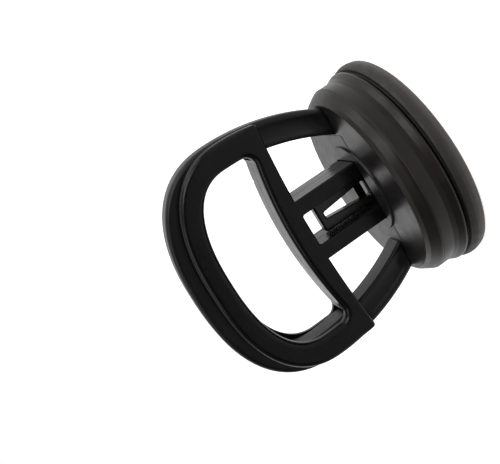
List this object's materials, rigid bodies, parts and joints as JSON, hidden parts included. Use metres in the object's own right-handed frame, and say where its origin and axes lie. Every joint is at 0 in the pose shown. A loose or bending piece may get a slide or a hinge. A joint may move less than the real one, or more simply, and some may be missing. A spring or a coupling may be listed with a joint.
{
  "type": "vacuum suction cup",
  "caption": "Hand-held vacuum suction cup: a rubber pad under a round housing, a fixed palm bow and a D-shaped finger handle that lifts the middle of the pad.",
  "frame": {"origin": "centre of the suction face, on the plane of the pad's lip", "axes": "+Z from the suction face to the crown of the bow, +X along the finger bar, +Y through the handle's depth, toward the half with the screw heads"},
  "size_m": [0.0816, 0.0764, 0.088],
  "materials": {
    "rubber": "matte, slightly grainy",
    "housing_plastic": "satin with a fine texture",
    "bow_plastic": "semi-gloss black",
    "handle_plastic": "semi-gloss black",
    "guide_plastic": "satin black",
    "stem_plastic": "semi-gloss black",
    "bush_plastic": "plain",
    "steel": "zinc-plated, satin"
  },
  "bodies": {
    "cup": {"suction_pad": "rubber", "cup_housing": "housing_plastic", "bow_handle": "bow_plastic", "fork_guide": "guide_plastic", "guide_bush": "bush_plastic", "arm_screw_1": "steel", "arm_screw_2": "steel", "arm_screw_3": "steel", "arm_screw_4": "steel", "guide_screw_1": "steel", "guide_screw_2": "steel"},
    "pull_handle": {"pull_handle_front": "handle_plastic", "pull_handle_rear": "handle_plastic", "handle_screw_1": "steel", "handle_screw_2": "steel", "handle_screw_3": "steel", "handle_screw_4": "steel", "pull_stem": "stem_plastic", "fork_pin": "steel", "pad_core": "steel"}
  },
  "joints": [
    {"name": "handle_pull", "type": "slide", "parent": "cup", "child": "pull_handle", "axis": [0, 0, 1], "range_m": [0, 0.0034], "stiffness_N_per_m": 5000, "deforming": ["suction_pad"]}
  ]
}
